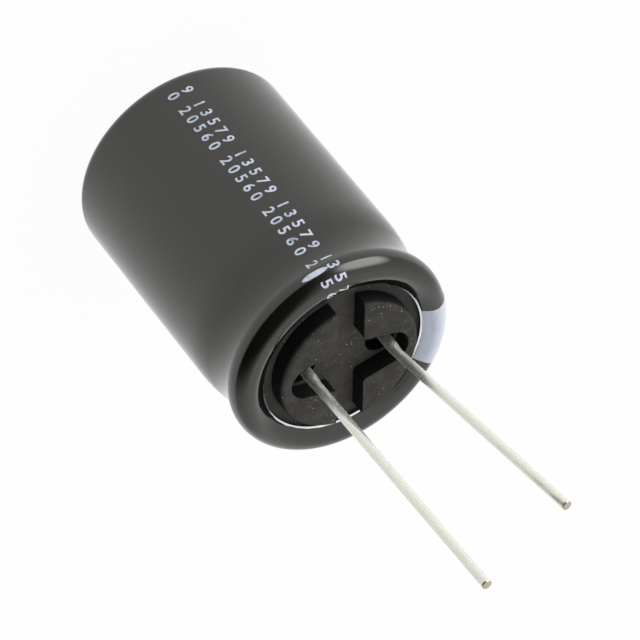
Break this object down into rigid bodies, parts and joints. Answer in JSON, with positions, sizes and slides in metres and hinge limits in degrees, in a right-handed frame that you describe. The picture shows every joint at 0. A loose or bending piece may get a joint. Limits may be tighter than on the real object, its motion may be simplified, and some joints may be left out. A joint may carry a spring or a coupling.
{
  "type": "electrolytic capacitor",
  "caption": "Radial electrolytic capacitor: sleeved can with a rolled bead and rubber seal, a wound element inside, and tinned wire leads of unequal length.",
  "frame": {"origin": "middle of the closed end's underside, where the part stands", "axes": "+Z along the body from the closed end to the leads, X along the row of leads with the positive lead at +X"},
  "size_m": [0.0186, 0.0186, 0.0503],
  "materials": {
    "sleeve_film": "satin black heat-shrunk film",
    "stripe_ink": "pale blue-grey ink on the sleeve",
    "can_aluminium": "drawn aluminium",
    "seal_rubber": "matt moulded rubber with pale dust",
    "tinned_wire": "tinned copper-clad steel wire, scuffed near the seal",
    "tab_aluminium": "pressed aluminium",
    "etched_foil": "dull etched and formed foil",
    "plain_foil": "plain foil",
    "separator_paper": "paper soaked in electrolyte",
    "tape_film": "thin adhesive tape"
  },
  "bodies": {
    "root": {"sleeve": "sleeve_film", "polarity_stripe": "stripe_ink", "can": "can_aluminium", "rubber_bung": "seal_rubber", "positive_lead": "tinned_wire", "negative_lead": "tinned_wire", "positive_tab": "tab_aluminium", "negative_tab": "tab_aluminium", "anode_foil": "etched_foil", "inner_separator": "separator_paper", "cathode_foil": "plain_foil", "outer_separator": "separator_paper", "closing_tape": "tape_film"}
  },
  "joints": []
}
